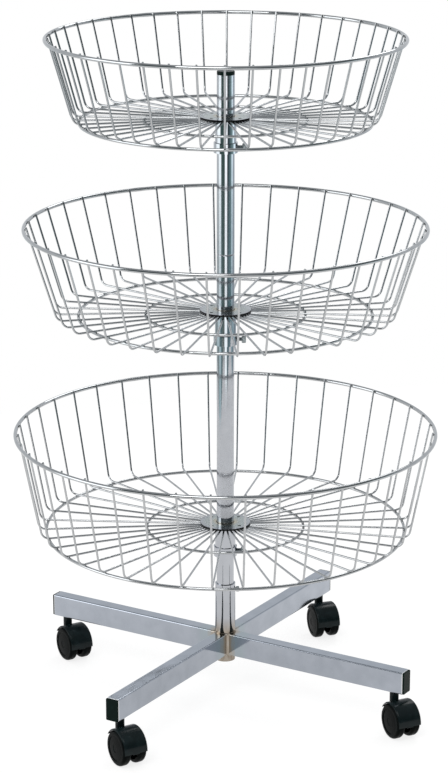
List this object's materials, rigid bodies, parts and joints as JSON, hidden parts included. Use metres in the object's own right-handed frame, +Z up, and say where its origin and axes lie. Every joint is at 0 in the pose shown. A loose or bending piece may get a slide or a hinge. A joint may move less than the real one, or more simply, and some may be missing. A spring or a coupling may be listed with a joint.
{
  "type": "retail dump bin",
  "caption": "Floor stand with flared round wire baskets in tiers that turn on height-adjustable collars along a tube pole, over a cross base on twin-wheel swivel casters.",
  "frame": {"origin": "the pole's axis at the floor", "axes": "+Z up the pole, -Y front, +X right; the legs point along the diagonals"},
  "size_m": [0.6054, 0.6054, 0.9682],
  "materials": {
    "chrome_plate": "bright chrome plate on steel",
    "zinc_steel": "zinc-plated steel",
    "black_plastic": "moulded black polypropylene, satin",
    "caster_black": "moulded black nylon, glossy"
  },
  "bodies": {
    "base": {"base_socket": "chrome_plate", "leg_front_left": "chrome_plate", "leg_front_right": "chrome_plate", "leg_back_left": "chrome_plate", "leg_back_right": "chrome_plate", "leg_cap_front_left": "black_plastic", "leg_cap_front_right": "black_plastic", "leg_cap_back_left": "black_plastic", "leg_cap_back_right": "black_plastic", "caster_sockets": "black_plastic", "socket_screw": "zinc_steel", "pole_lower": "chrome_plate", "pole_spigot": "zinc_steel", "pole_upper": "chrome_plate", "pole_cap": "black_plastic", "caster_stem_front_left": "zinc_steel", "caster_stem_front_right": "zinc_steel", "caster_stem_back_left": "zinc_steel", "caster_stem_back_right": "zinc_steel"},
    "top_collar": {"top_collar": "chrome_plate"},
    "top_basket": {"top_rim": "chrome_plate", "top_wire_cage": "chrome_plate", "top_base_ring": "chrome_plate", "top_inner_ring": "chrome_plate", "top_hub_plate": "chrome_plate", "top_hub_sleeve": "chrome_plate"},
    "top_thumb_screw": {"top_thumb_screw": "zinc_steel"},
    "middle_collar": {"middle_collar": "chrome_plate"},
    "middle_basket": {"middle_rim": "chrome_plate", "middle_wire_cage": "chrome_plate", "middle_base_ring": "chrome_plate", "middle_inner_ring": "chrome_plate", "middle_hub_plate": "chrome_plate", "middle_hub_sleeve": "chrome_plate"},
    "middle_thumb_screw": {"middle_thumb_screw": "zinc_steel"},
    "bottom_collar": {"bottom_collar": "chrome_plate"},
    "bottom_basket": {"bottom_rim": "chrome_plate", "bottom_wire_cage": "chrome_plate", "bottom_base_ring": "chrome_plate", "bottom_inner_ring": "chrome_plate", "bottom_hub_plate": "chrome_plate", "bottom_hub_sleeve": "chrome_plate"},
    "bottom_thumb_screw": {"bottom_thumb_screw": "zinc_steel"},
    "caster_front_left": {"caster_body_front_left": "caster_black", "caster_axle_front_left": "zinc_steel"},
    "wheel_a_front_left": {"wheel_a_front_left": "caster_black"},
    "wheel_b_front_left": {"wheel_b_front_left": "caster_black"},
    "caster_front_right": {"caster_body_front_right": "caster_black", "caster_axle_front_right": "zinc_steel"},
    "wheel_a_front_right": {"wheel_a_front_right": "caster_black"},
    "wheel_b_front_right": {"wheel_b_front_right": "caster_black"},
    "caster_back_left": {"caster_body_back_left": "caster_black", "caster_axle_back_left": "zinc_steel"},
    "wheel_a_back_left": {"wheel_a_back_left": "caster_black"},
    "wheel_b_back_left": {"wheel_b_back_left": "caster_black"},
    "caster_back_right": {"caster_body_back_right": "caster_black", "caster_axle_back_right": "zinc_steel"},
    "wheel_a_back_right": {"wheel_a_back_right": "caster_black"},
    "wheel_b_back_right": {"wheel_b_back_right": "caster_black"}
  },
  "joints": [
    {"name": "top_height", "type": "slide", "parent": "base", "child": "top_collar", "axis": [0, 0, 1], "range_m": [-0.07, 0.055]},
    {"name": "top_spin", "type": "hinge", "parent": "top_collar", "child": "top_basket", "pos_m": [0, 0, 0.82], "axis": [0, 0, 1], "continuous": true},
    {"name": "top_screw_turn", "type": "hinge", "parent": "top_collar", "child": "top_thumb_screw", "pos_m": [0.01218, -0.00281, 0.81295], "axis": [0.9744, -0.225, 0], "continuous": true},
    {"name": "middle_height", "type": "slide", "parent": "base", "child": "middle_collar", "axis": [0, 0, 1], "range_m": [-0.07, 0.07]},
    {"name": "middle_spin", "type": "hinge", "parent": "middle_collar", "child": "middle_basket", "pos_m": [0, 0, 0.544], "axis": [0, 0, 1], "continuous": true},
    {"name": "middle_screw_turn", "type": "hinge", "parent": "middle_collar", "child": "middle_thumb_screw", "pos_m": [0.01218, -0.00281, 0.53695], "axis": [0.9744, -0.225, 0], "continuous": true},
    {"name": "bottom_height", "type": "slide", "parent": "base", "child": "bottom_collar", "axis": [0, 0, 1], "range_m": [-0.042, 0.07]},
    {"name": "bottom_spin", "type": "hinge", "parent": "bottom_collar", "child": "bottom_basket", "pos_m": [0, 0, 0.227], "axis": [0, 0, 1], "continuous": true},
    {"name": "bottom_screw_turn", "type": "hinge", "parent": "bottom_collar", "child": "bottom_thumb_screw", "pos_m": [0.01218, -0.00281, 0.21995], "axis": [0.9744, -0.225, 0], "continuous": true},
    {"name": "swivel_front_left", "type": "hinge", "parent": "base", "child": "caster_front_left", "pos_m": [-0.19799, -0.19799, 0.0605], "axis": [0, 0, 1], "continuous": true},
    {"name": "roll_a_front_left", "type": "hinge", "parent": "caster_front_left", "child": "wheel_a_front_left", "pos_m": [-0.19212, -0.21606, 0.025], "axis": [0.9511, 0.309, 0], "continuous": true},
    {"name": "roll_b_front_left", "type": "hinge", "parent": "caster_front_left", "child": "wheel_b_front_left", "pos_m": [-0.19212, -0.21606, 0.025], "axis": [0.9511, 0.309, 0], "continuous": true},
    {"name": "swivel_front_right", "type": "hinge", "parent": "base", "child": "caster_front_right", "pos_m": [0.19799, -0.19799, 0.0605], "axis": [0, 0, 1], "continuous": true},
    {"name": "roll_a_front_right", "type": "hinge", "parent": "caster_front_right", "child": "wheel_a_front_right", "pos_m": [0.20226, -0.2165, 0.025], "axis": [0.9744, 0.225, 0], "continuous": true},
    {"name": "roll_b_front_right", "type": "hinge", "parent": "caster_front_right", "child": "wheel_b_front_right", "pos_m": [0.20226, -0.2165, 0.025], "axis": [0.9744, 0.225, 0], "continuous": true},
    {"name": "swivel_back_left", "type": "hinge", "parent": "base", "child": "caster_back_left", "pos_m": [-0.19799, 0.19799, 0.0605], "axis": [0, 0, 1], "continuous": true},
    {"name": "roll_a_back_left", "type": "hinge", "parent": "caster_back_left", "child": "wheel_a_back_left", "pos_m": [-0.19212, 0.17992, 0.025], "axis": [0.9511, 0.309, 0], "continuous": true},
    {"name": "roll_b_back_left", "type": "hinge", "parent": "caster_back_left", "child": "wheel_b_back_left", "pos_m": [-0.19212, 0.17992, 0.025], "axis": [0.9511, 0.309, 0], "continuous": true},
    {"name": "swivel_back_right", "type": "hinge", "parent": "base", "child": "caster_back_right", "pos_m": [0.19799, 0.19799, 0.0605], "axis": [0, 0, 1], "continuous": true},
    {"name": "roll_a_back_right", "type": "hinge", "parent": "caster_back_right", "child": "wheel_a_back_right", "pos_m": [0.19998, 0.17909, 0.025], "axis": [0.9945, 0.1045, 0], "continuous": true},
    {"name": "roll_b_back_right", "type": "hinge", "parent": "caster_back_right", "child": "wheel_b_back_right", "pos_m": [0.19998, 0.17909, 0.025], "axis": [0.9945, 0.1045, 0], "continuous": true}
  ]
}
